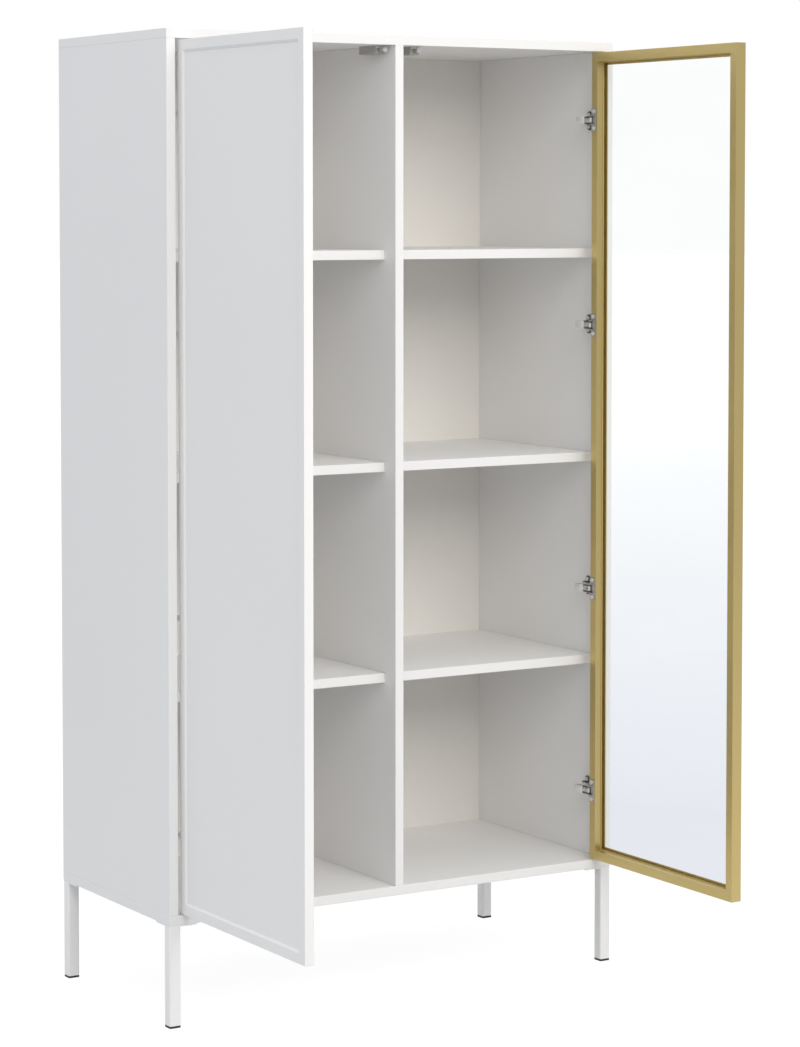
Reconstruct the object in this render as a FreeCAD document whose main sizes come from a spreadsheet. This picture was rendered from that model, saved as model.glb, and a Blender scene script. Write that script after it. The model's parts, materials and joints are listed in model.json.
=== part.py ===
"""Two-door bookcase on four square legs: a framed panel door on the left, a framed glass door on the right.

The frame of the model: X to the right, Y to the back, Z up, in millimetres. The origin lies on the floor, at
the middle of the cabinet's width, in the plane of the cabinet's front edges. Both doors stand open at a right
angle. Every size is a cell of the sheet Sizes, what follows from them is a cell of the sheet Layout, and each
piece is bound to those cells by expressions.
"""
import FreeCAD, Part
import os
import re
import Sketcher

V = FreeCAD.Vector
doc = FreeCAD.newDocument("Bookcase")
LEFT, RIGHT = -1, 1
SIDES = {LEFT: "left", RIGHT: "right"}
NODES = {}           # node name: document object
HOME = {}            # alias: name of the sheet that holds it


# ---------------------------------------------------------------- sheets

SIZES = {
    # cabinet
    "width": 825, "depth": 380, "height": 1530, "board": 15, "edge_radius": 0.7,
    "leg_height": 159, "back_thick": 3, "back_margin": 1, "back_joint": 0.5,
    "shelf_recess": 32.6, "shelf_clear": 0.3,
    # legs
    "leg_tube": 19, "leg_wall": 1.5, "tube_corner": 2.5, "plate_side": 48, "plate_thick": 2,
    "plate_corner": 2.5, "plate_hole": 8,
    "foot_pad": 3.4, "foot_plug": 14, "foot_clear": 0.1,
    # fasteners
    "fit_clear": 0.05, "hole_extra": 0.5,
    "dowel_radius": 4, "dowel_in_panel": 10, "dowel_in_upright": 20, "dowel_row": 100, "screw_row": 70,
    "panel_screw_radius": 2.5, "panel_screw_length": 50,
    "panel_screw_head": 5, "panel_screw_head_thick": 3, "panel_screw_sunk": 0.5, "socket_deep": 1.5,
    "shelf_pin_radius": 2.5, "shelf_pin_in_board": 6.5, "shelf_pin_in_shelf": 12, "shelf_pin_row": 40,
    "nail_radius": 0.8, "nail_length": 18, "nail_head": 2, "nail_head_thick": 0.5, "nail_end": 40,
    "leg_screw_radius": 1.9, "leg_screw_length": 14, "leg_screw_head": 3.5, "leg_screw_head_thick": 1.8,
    "recess_width": 0.9, "recess_deep": 0.9,
    # doors
    "hinge_gap": 3, "middle_gap": 2, "end_gap": 2.5, "open_offset": 6, "open_back": 4,
    "panel_door_thick": 15, "glass_door_thick": 18,
    "border": 15.4, "bevel": 4, "panel_recess": 2.5, "panel_thick": 6, "groove_start": 11,
    "panel_clear": 0.5, "corner_dowel_radius": 2, "corner_dowel_length": 18, "corner_dowel_deep": 12,
    "bar_width": 15, "lip_width": 20, "lip_thick": 1.5, "glass_thick": 4, "gasket_thick": 1,
    "gasket_lip": 1.5, "bar_wall": 1.5, "key_clear": 0.2, "key_length": 35,
    # hinges
    "first_hinge": 114, "last_hinge": 110, "hinge_step": 337.5,
    "pin_radius": 1.5, "running_clear": 0.05, "pin_inset": 1, "cup_foot": 1.5, "link_reach": 26,
    "link_round": 2.5, "link_thick": 2, "layer_gap": 0.3, "link_fit": 0.02, "slot_room": 2,
    "arm_half": 3.8, "arm_round": 4, "arm_back": 53, "arm_elbow": 7, "arm_tail": 3, "arm_margin": 2,
    "wing_row": 43.5, "wing_screw_step": 10, "wing_round": 5.8, "wing_thick": 2,
    "hub_half": 5.5, "hub_thick": 4, "hub_front": 33,
    "cup_start": 0.5, "cup_width": 13, "cup_half": 19, "cup_under_pin": 1.7, "ear_thick": 1.5,
    "ear_length": 8, "cup_screw_step": 14, "cup_screw_in": 7, "hinge_screw_radius": 1.7,
    "hinge_screw_deep": 6.5, "wing_screw_deep": 11, "hinge_screw_head": 3.1, "hinge_screw_head_thick": 1.6,
    # push latches
    "left_latch_gap": 0.5, "right_latch_gap": 31.5, "latch_front": 32, "latch_long": 50, "latch_wide": 18,
    "latch_tall": 13, "latch_edge": 0.8, "latch_bore": 3.3, "latch_bore_long": 36,
    "plunger_gap": 0.3, "plunger_head": 4, "plunger_head_thick": 3, "plunger_half": 3,
    "plunger_rib": 1.4, "plunger_in": 12,
    "spring_radius": 2.2, "spring_wire": 0.35, "spring_pitch": 2.6, "spring_play": 0.2,
    "latch_screw_row": 76, "latch_screw_off": 5.5, "latch_screw_radius": 1.5, "latch_screw_length": 22,
    "latch_screw_head": 2.6, "latch_screw_head_thick": 1.2,
}

LAYOUT = {
    "half_width": "width / 2",
    "inner_face": "width / 2 - board",
    "floor_top": "leg_height + board",
    "roof_under": "height - board",
    "bay_width": "(width - 3 * board) / 2",
    "bay_height": "(roof_under - floor_top - 3 * board) / 4",
    "door_width": "bay_width - hinge_gap - middle_gap",
    "door_bottom": "floor_top + end_gap",
    "door_top": "roof_under - end_gap",
    "door_face": "inner_face - open_offset",
    "free_edge": "open_back - door_width",
    # how deep the hinge pin lies behind both doors' outer faces: the thicker door has the thinnest cup foot
    "pin_depth": "max(panel_door_thick; glass_door_thick) + cup_foot + cup_under_pin",
    # the door turns about this point between closed and open, in distances from the side's inner face (s) and
    # behind the front plane (b)
    "pole_s": "(open_offset + open_back + hinge_gap) / 2",
    "pole_b": "(open_back + hinge_gap - open_offset) / 2",
    "swing_s": "hinge_gap + pin_inset - pole_s",
    "swing_b": "pin_depth - pole_b",
    "chord": "sqrt((swing_s + swing_b) ^ 2 + (swing_b - swing_s) ^ 2)",
    # where the link's two pins stand with the door open: on the cabinet's arm, and on the door's cup
    "arm_pin_s": "pole_s + (swing_s + swing_b) * (0.5 + link_reach / chord)",
    "arm_pin_b": "pole_b + (swing_b - swing_s) * (0.5 + link_reach / chord)",
    "cup_pin_s": "open_offset + pin_depth",
    "cup_pin_b": "open_back - pin_inset",
    "link_long": "sqrt((arm_pin_s - cup_pin_s) ^ 2 + (arm_pin_b - cup_pin_b) ^ 2)",
    "link_side_s": "link_round * (arm_pin_b - cup_pin_b) / link_long",
    "link_side_b": "link_round * (arm_pin_s - cup_pin_s) / link_long",
    "link_low": "arm_half + layer_gap",
    "ear_low": "link_low + link_thick + layer_gap",
    "pin_hole": "pin_radius + running_clear",
    "left_latch_off": "board / 2 + left_latch_gap + latch_wide / 2",
    "right_latch_off": "board / 2 + right_latch_gap + latch_wide / 2",
    "latch_level": "roof_under - latch_tall / 2",
}


def fill_sheet(name, cells):
    """Write one sheet: the alias in column A, its value or formula in column B."""
    sheet = doc.addObject("Spreadsheet::Sheet", name)
    for row, (alias, value) in enumerate(cells.items(), start=1):
        sheet.set(f"A{row}", alias)
        HOME[alias] = name
        sheet.set(f"B{row}", str(value) if name == "Sizes" else "=" + ref(value))
        sheet.setAlias(f"B{row}", alias)
    doc.recompute()
    return sheet


def ref(text):
    """The expression with the sheet's name in front of each alias."""

    def with_sheet(found):
        word = found[0]
        return f"{HOME[word]}.{word}" if word in HOME else word

    return re.sub(r"[a-z]\w*", with_sheet, str(text))


sizes = fill_sheet("Sizes", SIZES)
layout = fill_sheet("Layout", LAYOUT)


def number(text):
    """The present value of an expression."""
    return float(sizes.evalExpression(ref(text)))


# ---------------------------------------------------------------- building blocks

TURN = {
    "z": FreeCAD.Rotation(),
    "x": FreeCAD.Rotation(V(0, 1, 0), 90),
    "-x": FreeCAD.Rotation(V(0, 1, 0), -90),
    "y": FreeCAD.Rotation(V(1, 0, 0), -90),
    "-y": FreeCAD.Rotation(V(1, 0, 0), 90),
}


def bind(item, prop, text):
    item.setExpression(prop, ref(text))


def place(item, spot, turn=FreeCAD.Rotation()):
    """Turn an object, and bind its place to expressions."""
    item.Placement = FreeCAD.Placement(V(), turn)
    for axis, text in zip("xyz", spot):
        bind(item, f"Placement.Base.{axis}", text)
    return item


def box(size, spot, name="Box"):
    """A block with its low corner at spot."""
    item = doc.addObject("Part::Box", name)
    for side, text in zip(("Length", "Width", "Height"), size):
        bind(item, side, text)
    return place(item, spot)


def rod(radius, length, spot, along="z", name="Rod"):
    """A cylinder from spot, along an axis or a vector."""
    item = doc.addObject("Part::Cylinder", name)
    bind(item, "Radius", radius)
    bind(item, "Height", length)
    return place(item, spot, TURN[along] if along in TURN else FreeCAD.Rotation(V(0, 0, 1), V(*along)))


def fused(pieces, name="Joined"):
    item = doc.addObject("Part::MultiFuse", name)
    item.Shapes = pieces
    return item


def group(pieces, name="Group"):
    """Separate solids held as one object."""
    item = doc.addObject("Part::Compound", name)
    item.Links = pieces
    return item


def cut(base, tools, name="Cut"):
    item = doc.addObject("Part::Cut", name)
    item.Base = base
    item.Tool = tools[0] if len(tools) == 1 else group(tools, name + "_tools")
    return item


def board(size, spot, name="Board", radius="edge_radius", upright_only=False):
    """A block with its edges rounded: all of them, or only the upright ones."""
    body = doc.addObject("PartDesign::Body", name)
    block = body.newObject("PartDesign::AdditiveBox", name + "_block")
    for side, text in zip(("Length", "Width", "Height"), size):
        bind(block, side, text)
    doc.recompute()
    upright = [f"Edge{index}" for index, edge in enumerate(block.Shape.Edges, start=1)
               if abs(edge.tangentAt(edge.FirstParameter).z) > 0.9]
    rounding = body.newObject("PartDesign::Fillet", name + "_edges")
    rounding.Base = (block, upright)
    rounding.UseAllEdges = not upright_only
    bind(rounding, "Radius", radius)
    body.Tip = rounding
    return place(body, spot)


def outline(body, plane, loops, name):
    """A sketch of closed loops on one of the body's own planes, each corner bound to two expressions."""
    sketch = body.newObject("Sketcher::SketchObject", name)
    support = [item for item in body.Origin.OriginFeatures if item.Role == plane][0]
    sketch.AttachmentSupport = [(support, "")]
    sketch.MapMode = "FlatFace"
    first = 0
    for loop in loops:
        corners = [V(number(x), number(y), 0) for x, y in loop]
        count = len(corners)
        for index in range(count):
            sketch.addGeometry(Part.LineSegment(corners[index], corners[(index + 1) % count]))
        for index, corner in enumerate(corners):
            line = first + index
            after = first + (index + 1) % count
            sketch.addConstraint(Sketcher.Constraint("Coincident", line, 2, after, 1))
            for kind, value, text in zip(("DistanceX", "DistanceY"), corner, loop[index]):
                fixed = sketch.addConstraint(Sketcher.Constraint(kind, -1, 1, line, 1, value))
                label = f"{kind}{line}"
                sketch.renameConstraint(fixed, label)
                bind(sketch, f"Constraints.{label}", text)
        first += count
    return sketch


def prism(loops, length, spot, turn=FreeCAD.Rotation(), name="Prism"):
    """A straight extrusion of an outline drawn in the body's XY plane."""
    body = doc.addObject("PartDesign::Body", name)
    pad = body.newObject("PartDesign::Pad", name + "_pad")
    pad.Profile = outline(body, "XY_Plane", loops, name + "_outline")
    bind(pad, "Length", length)
    body.Tip = pad
    return place(body, spot, turn)


def screw(radius, length, head, head_thick, spot, along, name="Screw"):
    """A pan-head screw with a cross recess: its head ends at spot and its shank runs from there."""
    back = {"x": (-1, 0, 0), "-x": (1, 0, 0), "y": (0, -1, 0), "z": (0, 0, -1)}[along]
    head_spot = [f"{text} + {step} * {head_thick}" for text, step in zip(spot, back)]
    solid = fused([rod(radius, length, spot, along), rod(head, head_thick, head_spot, along)], name)
    return cut(solid, [cross_bar(head, head_spot, back, turned) for turned in (0, 1)], name + "_cross")


def cross_bar(head, head_spot, back, turned):
    """One bar of a screw's cross recess, sunk into the top of its head."""
    flat = [axis for axis in range(3) if back[axis] == 0]
    long_axis = flat[turned]
    size = ["recess_width"] * 3
    low = [f"{text} - recess_width / 2" for text in head_spot]
    size[long_axis] = f"1.1 * {head}"
    low[long_axis] = f"{head_spot[long_axis]} - 0.55 * {head}"
    deep_axis = [axis for axis in range(3) if back[axis]][0]
    size[deep_axis] = "2 * recess_deep"
    low[deep_axis] = f"{head_spot[deep_axis]} - recess_deep"
    return box(size, low, "Recess")


def node(name, item):
    """Register a finished sub-part under its own label."""
    item.Label = name
    NODES[name] = item
    return item


# ---------------------------------------------------------------- cabinet

HOLES = {}           # board name: tools that are cut out of it
BLANKS = {}          # board name: its body before drilling
UPRIGHTS = {
    "left_side_panel": "-half_width",
    "centre_divider": "-board / 2",
    "right_side_panel": "half_width - board",
}
SHELF_ROWS = {"low": 1, "middle": 2, "high": 3}


def blank(name, size, spot):
    BLANKS[name] = board(size, spot, name + "_blank")
    HOLES[name] = []


def make_boards():
    """Top, bottom, three uprights, six shelves and two back sheets, all before drilling."""
    blank("bottom_panel", ("width", "depth", "board"), ("-half_width", "0", "leg_height"))
    blank("top_panel", ("width", "depth", "board"), ("-half_width", "0", "roof_under"))
    for name, low in UPRIGHTS.items():
        blank(name, ("board", "depth", "roof_under - floor_top"), (low, "0", "floor_top"))
    for side, word in SIDES.items():
        sheet_low = "-half_width + back_margin" if side == LEFT else "back_joint / 2"
        sheet_wide = "half_width - back_margin - back_joint / 2"
        sheet_tall = "height - leg_height - 2 * back_margin"
        blank(f"{word}_back_panel", (sheet_wide, "back_thick", sheet_tall),
              (sheet_low, "depth", "leg_height + back_margin"))
        shelf_low = "-inner_face + shelf_clear" if side == LEFT else "board / 2 + shelf_clear"
        for row, count in SHELF_ROWS.items():
            blank(f"{word}_{row}_shelf",
                  ("bay_width - 2 * shelf_clear", "depth - shelf_recess", "board"),
                  (shelf_low, "shelf_recess", shelf_level(count)))


def shelf_level(count):
    """The underside of a shelf, counted from the bottom."""
    return f"floor_top + {count} * bay_height + {count - 1} * board"


def make_dowels():
    """Wooden dowels that join each upright to the top and the bottom panel."""
    dowels = []
    long = "dowel_in_panel + dowel_in_upright"
    starts = {"bottom_panel": "floor_top - dowel_in_panel", "top_panel": "roof_under - dowel_in_upright"}
    for name, low in UPRIGHTS.items():
        for end, start in starts.items():
            for y in ("dowel_row", "depth - dowel_row"):
                middle = f"{low} + board / 2"
                dowels.append(rod("dowel_radius", long, (middle, y, start)))
                hole = rod("dowel_radius + fit_clear", f"{long} + 2 * hole_extra",
                           (middle, y, f"{start} - hole_extra"))
                HOLES[name].append(hole)
                HOLES[end].append(hole)
    node("carcass_dowels", group(dowels, "carcass_dowels"))


def make_panel_screws():
    """Connecting screws that run up through the bottom panel into the uprights, with sunk heads."""
    screws = []
    for name, low in UPRIGHTS.items():
        for y in ("screw_row", "depth / 2", "depth - screw_row"):
            middle = f"{low} + board / 2"
            start = (middle, y, "leg_height + panel_screw_sunk")
            below = (middle, y, "leg_height - 1")
            shank = rod("panel_screw_radius", "panel_screw_length", start)
            head = rod("panel_screw_head", "panel_screw_head_thick", start)
            socket = rod("panel_screw_radius", "1 + panel_screw_sunk + socket_deep", below)
            screws.append(cut(fused([shank, head]), [socket]))
            hole = rod("panel_screw_radius + fit_clear", "panel_screw_length + hole_extra", start)
            sink = rod("panel_screw_head + fit_clear",
                       "1 + panel_screw_sunk + panel_screw_head_thick + fit_clear", below)
            HOLES[name].append(hole)
            HOLES["bottom_panel"] += [hole, sink]
    node("carcass_screws", group(screws, "carcass_screws"))


def make_shelf_pins():
    """Hidden steel pins, two in each end of every shelf, that stand partly in the upright beside it."""
    pins = []
    long = "shelf_pin_in_board + shelf_clear + shelf_pin_in_shelf"
    ends = {
        (LEFT, 0): ("left_side_panel", "-inner_face - shelf_pin_in_board", "x"),
        (LEFT, 1): ("centre_divider", "-board / 2 + shelf_pin_in_board", "-x"),
        (RIGHT, 0): ("centre_divider", "board / 2 - shelf_pin_in_board", "x"),
        (RIGHT, 1): ("right_side_panel", "inner_face + shelf_pin_in_board", "-x"),
    }
    for (side, _), (upright, start, along) in ends.items():
        for row, count in SHELF_ROWS.items():
            level = f"{shelf_level(count)} + board / 2"
            for y in ("shelf_recess + shelf_pin_row", "depth - shelf_pin_row"):
                pins.append(rod("shelf_pin_radius", long, (start, y, level), along))
                hole = rod("shelf_pin_radius + fit_clear", f"{long} + hole_extra", (start, y, level), along)
                HOLES[upright].append(hole)
                HOLES[f"{SIDES[side]}_{row}_shelf"].append(hole)
    node("shelf_pins", group(pins, "shelf_pins"))


def make_nails():
    """Thin nails, driven flush, that hold the two back sheets to the cabinet's rear edges."""
    nails = []
    rows = 6
    back = "depth + back_thick"
    nail_step = f"(roof_under - floor_top - 2 * nail_end) / {rows - 1}"
    for side, word in SIDES.items():
        outer = f"{side} * (half_width - board / 2)"
        inner = f"{side} * board / 4"
        middle = f"{side} * half_width / 2"
        spots = [(middle, "leg_height + board / 2", "bottom_panel"),
                 (middle, "height - board / 2", "top_panel")]
        for row in range(rows):
            level = f"floor_top + nail_end + {row} * {nail_step}"
            spots += [(outer, level, f"{word}_side_panel"), (inner, level, "centre_divider")]
        for x, level, target in spots:
            shank = rod("nail_radius", "nail_length", (x, back, level), "-y")
            head = rod("nail_head", "nail_head_thick", (x, back, level), "-y")
            nails.append(fused([shank, head]))
            hole = rod("nail_radius + fit_clear", "nail_length + hole_extra", (x, back, level), "-y")
            sink = rod("nail_head + fit_clear", "nail_head_thick", (x, back, level), "-y")
            HOLES[f"{word}_back_panel"] += [hole, sink]
            HOLES[target].append(hole)
    node("back_panel_nails", group(nails, "back_panel_nails"))


def finish_boards():
    for name, tools in HOLES.items():
        node(name, cut(BLANKS[name], tools, name))


# ---------------------------------------------------------------- legs

def inward(side, offset, size):
    """The low X of a span that starts at an offset inward from the cabinet's outer side."""
    return f"-half_width + ({offset})" if side == LEFT else f"half_width - ({offset}) - ({size})"


def backward(front, offset, size):
    """The low Y of a span that starts at an offset inward from the cabinet's front or rear face."""
    return f"({offset})" if front else f"depth - ({offset}) - ({size})"


def make_legs():
    """Four square steel tubes, each with a mounting plate welded on top and a rubber cap below."""
    screws = []
    for side, word in SIDES.items():
        for front in (True, False):
            name = f"{'front' if front else 'back'}_{word}"

            def block(offset, size, low, tall, corner):
                spot = (inward(side, offset, size), backward(front, offset, size), low)
                return board((size, size, tall), spot, radius=corner, upright_only=True)

            tube_long = "leg_height - plate_thick - foot_pad"
            tube = block("0", "leg_tube", "foot_pad", tube_long, "tube_corner")
            hollow = block("leg_wall", "leg_tube - 2 * leg_wall", "foot_pad", tube_long,
                           "tube_corner - leg_wall")
            plate = block("0", "plate_side", "leg_height - plate_thick", "plate_thick", "plate_corner")
            holes = []
            far = "plate_side - plate_hole"
            for offset_x, offset_y in (("plate_hole", far), (far, "plate_hole"), (far, far)):
                spot = (inward(side, offset_x, "0"), backward(front, offset_y, "0"),
                        "leg_height - plate_thick")
                screws.append(screw("leg_screw_radius", "leg_screw_length", "leg_screw_head",
                                    "leg_screw_head_thick", spot, "z"))
                hole = rod("leg_screw_radius + fit_clear", "leg_screw_length + hole_extra", spot)
                holes.append(hole)
                HOLES["bottom_panel"].append(hole)
            node(f"{name}_leg", cut(fused([cut(tube, [hollow]), plate]), holes, f"{name}_leg"))
            plug_side = "leg_tube - 2 * leg_wall - 2 * foot_clear"
            pad = block("0", "leg_tube", "0", "foot_pad", "tube_corner")
            plug = block("leg_wall + foot_clear", plug_side, "foot_pad", "foot_plug",
                         "tube_corner - leg_wall - foot_clear")
            node(f"{name}_foot_cap", fused([pad, plug], f"{name}_foot_cap"))
    node("leg_screws", group(screws, "leg_screws"))


# ---------------------------------------------------------------- doors

def door_box(side, along, deep, tall):
    """A block in a door's own terms: from its hinge edge, from its outer face, and in height."""
    low_x = f"door_face - ({deep[0]}) - ({deep[1]})" if side == RIGHT else f"-door_face + ({deep[0]})"
    low_y = f"open_back - ({along[0]}) - ({along[1]})"
    return box((deep[1], along[1], tall[1]), (low_x, low_y, tall[0]))


def inset_box(side, start, deep, thick):
    """A block that keeps the same distance from all four edges of a door."""
    return door_box(side, (start, f"door_width - 2 * ({start})"), (deep, thick),
                    (f"door_bottom + {start}", f"door_top - door_bottom - 2 * ({start})"))


def member(side, inward_way, profile, reach, name):
    """One mitred bar of a door's frame.

    profile is drawn with X from the bar's outer edge inward and Y from the door's outer face. inward_way is
    the direction of that X in space, and reach is how far the bar's inner edge stands in.
    """
    deep_way = V(-side, 0, 0)
    long_way = inward_way.cross(deep_way)
    upright = inward_way.z == 0
    at_hinge = inward_way.y < 0 if upright else long_way.y < 0
    at_bottom = long_way.z > 0 if upright else inward_way.z > 0
    long = "door_top - door_bottom" if upright else "door_width"
    spot = (f"{side} * door_face", "open_back" if at_hinge else "free_edge",
            "door_bottom" if at_bottom else "door_top")
    body = prism(profile, long, spot, FreeCAD.Rotation(inward_way, deep_way, long_way, "XYZ"), name)
    past = f"({reach} + 1)"
    low_end = [("-1", "-1"), (past, "-1"), (past, past)]
    high_end = [("-1", f"{long} + 1"), (past, f"{long} + 1"), (past, f"{long} - {past}")]
    mitre = body.newObject("PartDesign::Pocket", name + "_mitres")
    mitre.Profile = outline(body, "XZ_Plane", [low_end, high_end], name + "_mitre_outline")
    mitre.Type = "ThroughAll"
    mitre.SideType = "Symmetric"
    body.Tip = mitre
    return body


WAYS = {
    "hinge_stile": V(0, -1, 0),
    "free_stile": V(0, 1, 0),
    "top_rail": V(0, 0, -1),
    "bottom_rail": V(0, 0, 1),
}


def make_panel_door():
    """The left door: four mitred bars with a bevelled inner edge, and a flat panel in their groove."""
    front = "panel_recess"
    back = "panel_recess + panel_thick"
    inner = "border + bevel"
    thick = "panel_door_thick"
    profile = [[("0", "0"), ("border", "0"), (inner, front), ("groove_start", front),
                ("groove_start", back), (inner, back), (inner, thick), ("0", thick)]]
    dowels = []
    holes = []
    for hinge_end in (True, False):
        for lower in (True, False):
            dowel, hole = corner_dowel(inner, hinge_end, lower)
            dowels.append(dowel)
            holes.append(hole)
    for word, way in WAYS.items():
        bar = member(LEFT, way, profile, inner, f"left_door_{word}_bar")
        tools = holes + (cup_screw_holes(LEFT) if word == "hinge_stile" else [])
        node(f"left_door_{word}", cut(bar, tools, f"left_door_{word}"))
    node("left_door_panel", inset_box(LEFT, "groove_start + panel_clear", front, "panel_thick"))
    node("left_door_corner_dowels", group(dowels, "left_door_corner_dowels"))


def corner_dowel(inner, hinge_end, lower):
    """A dowel square across a mitre of the left door, and the hole that it needs."""
    way_y = -1 if hinge_end else 1
    way_z = 1 if lower else -1
    middle_y = f"{'open_back' if hinge_end else 'free_edge'} + {way_y} * ({inner}) / 2"
    middle_z = f"{'door_bottom' if lower else 'door_top'} + {way_z} * ({inner}) / 2"
    x = "-door_face + corner_dowel_deep"

    def pin(radius, half):
        spot = (x, f"{middle_y} + {way_y} * ({half}) / sqrt(2)",
                f"{middle_z} - {way_z} * ({half}) / sqrt(2)")
        return rod(radius, f"2 * ({half})", spot, (0, -way_y, way_z))

    return (pin("corner_dowel_radius", "corner_dowel_length / 2"),
            pin("corner_dowel_radius + fit_clear", "corner_dowel_length / 2 + hole_extra / 2"))


def make_glass_door():
    """The right door: four mitred hollow bars with a front lip, a glass pane, a gasket and corner keys."""
    groove_top = "lip_thick + glass_thick + gasket_thick"
    chamber = (f"{groove_top} + bar_wall", "glass_door_thick - bar_wall")
    shell = [("0", "0"), ("lip_width", "0"), ("lip_width", "lip_thick"), ("groove_start", "lip_thick"),
             ("groove_start", groove_top), ("bar_width", groove_top), ("bar_width", "glass_door_thick"),
             ("0", "glass_door_thick")]
    far_wall = "bar_width - bar_wall"
    hollow = [("bar_wall", chamber[0]), (far_wall, chamber[0]),
              (far_wall, chamber[1]), ("bar_wall", chamber[1])]
    for word, way in WAYS.items():
        bar = member(RIGHT, way, [shell, hollow], "lip_width", f"right_door_{word}_bar")
        if word == "hinge_stile":
            bar = cut(bar, cup_screw_holes(RIGHT), f"right_door_{word}")
        node(f"right_door_{word}", bar)
    start = "groove_start + panel_clear"
    node("glass_pane", inset_box(RIGHT, start, "lip_thick", "glass_thick"))
    gasket_deep = "lip_thick + glass_thick"
    outer = inset_box(RIGHT, start, gasket_deep, "gasket_thick")
    opening = inset_box(RIGHT, "bar_width + gasket_lip", f"{gasket_deep} - 1", "gasket_thick + 2")
    node("glass_gasket", cut(outer, [opening], "glass_gasket"))
    keys = [corner_key(chamber, hinge_end, lower) for hinge_end in (True, False) for lower in (True, False)]
    node("right_door_corner_keys", group(keys, "right_door_corner_keys"))


def corner_key(chamber, hinge_end, lower):
    """An angle that fills the hollow of a stile and a rail and holds their mitre together."""
    near = "bar_wall + key_clear"
    across = "bar_width - 2 * bar_wall - 2 * key_clear"
    deep = (f"{chamber[0]} + key_clear", f"{chamber[1]} - ({chamber[0]}) - 2 * key_clear")

    def span(size):
        return (near if hinge_end else f"door_width - ({near}) - ({size})", size)

    def rise(size):
        return (f"door_bottom + {near}" if lower else f"door_top - ({near}) - ({size})", size)

    return fused([door_box(RIGHT, span("key_length"), deep, rise(across)),
                  door_box(RIGHT, span(across), deep, rise("key_length"))])


# ---------------------------------------------------------------- hinges

HINGE_LEVELS = (
    "door_bottom + first_hinge",
    "door_bottom + first_hinge + hinge_step",
    "door_top - last_hinge - hinge_step",
    "door_top - last_hinge",
)
THICK = {LEFT: "panel_door_thick", RIGHT: "glass_door_thick"}
OUTWARD = {LEFT: "-x", RIGHT: "x"}


def across(side, distance):
    """The X of a point at a distance inward from a side panel's inner face."""
    return f"{side} * (inner_face - ({distance}))"


def side_box(side, out, back, low, tall):
    """A block on a side panel's inner face: how far it stands out, its span to the back, and its height."""
    low_x = f"inner_face - ({out})" if side == RIGHT else "-inner_face"
    return box((out, back[1], tall), (low_x, back[0], low))


def cup_base(side):
    """How thick the cup's foot is, so that the pin lies at the same depth on both doors."""
    return f"(pin_depth - cup_under_pin - {THICK[side]})"


def cup_screw_spots(side):
    for level in HINGE_LEVELS:
        for step in (-1, 1):
            yield (f"{side} * (door_face - {THICK[side]} - {cup_base(side)})", "open_back - cup_screw_in",
                   f"{level} + {step} * cup_screw_step")


def cup_screw_holes(side):
    long = f"hinge_screw_deep + {cup_base(side)} + hole_extra"
    radius = "hinge_screw_radius + fit_clear"
    return [rod(radius, long, spot, OUTWARD[side]) for spot in cup_screw_spots(side)]


def make_hinges(side):
    """Four concealed hinges: a wing plate and an arm on the side, a pair of links, and a cup on the door."""
    word = SIDES[side]
    plates, arms, links, pins, cups, cup_screws = [], [], [], [], [], []
    for level in HINGE_LEVELS:
        plates.append(wing_plate(side, level))
        arms.append(hinge_arm(side, level))
        for low in (f"{level} + link_low", f"{level} - link_low - link_thick"):
            links.append(link_plate(side, low))
        pins.append(hinge_pin(side, "arm_pin", level, "link_low + link_thick"))
        pins.append(hinge_pin(side, "cup_pin", level, "ear_low + ear_thick"))
        cups.append(hinge_cup(side, level))
    for spot in cup_screw_spots(side):
        cup_screws.append(screw("hinge_screw_radius", f"hinge_screw_deep + {cup_base(side)}",
                                "hinge_screw_head", "hinge_screw_head_thick", spot, OUTWARD[side]))
    sets = {"plates": plates, "arms": arms, "links": links, "pins": pins, "cups": cups,
            "cup_screws": cup_screws}
    for title, pieces in sets.items():
        node(f"{word}_hinge_{title}", group(pieces, f"{word}_hinge_{title}"))


def wing_plate(side, level):
    """A plate with two rounded wings, one screw in each, and a raised hub that carries the arm."""
    middle = side_box(side, "wing_thick", ("wing_row - wing_round", "2 * wing_round"),
                      f"{level} - wing_screw_step", "2 * wing_screw_step")
    hub = side_box(side, "hub_thick", ("hub_front", "arm_back - hub_front + arm_margin"),
                   f"{level} - hub_half", "2 * hub_half")
    wings = [rod("wing_round", "wing_thick", wing_spot(side, level, step), OUTWARD[side]) for step in (-1, 1)]
    return cut(fused([middle, hub] + wings), [wing_hole(side, level, step) for step in (-1, 1)])


def wing_spot(side, level, step):
    """The middle of a wing, on its inner face."""
    return (across(side, "wing_thick"), "wing_row", f"{level} + {step} * wing_screw_step")


def wing_hole(side, level, step):
    return rod("hinge_screw_radius + fit_clear", "wing_thick + wing_screw_deep + hole_extra",
               wing_spot(side, level, step), OUTWARD[side])


def make_wing_screws():
    """The screws that hold the wing plates to the two side panels."""
    screws = []
    for side, word in SIDES.items():
        for level in HINGE_LEVELS:
            for step in (-1, 1):
                screws.append(screw("hinge_screw_radius", "wing_thick + wing_screw_deep", "hinge_screw_head",
                                    "hinge_screw_head_thick", wing_spot(side, level, step), OUTWARD[side]))
                HOLES[f"{word}_side_panel"].append(wing_hole(side, level, step))
    node("hinge_plate_screws", group(screws, "hinge_plate_screws"))


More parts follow.
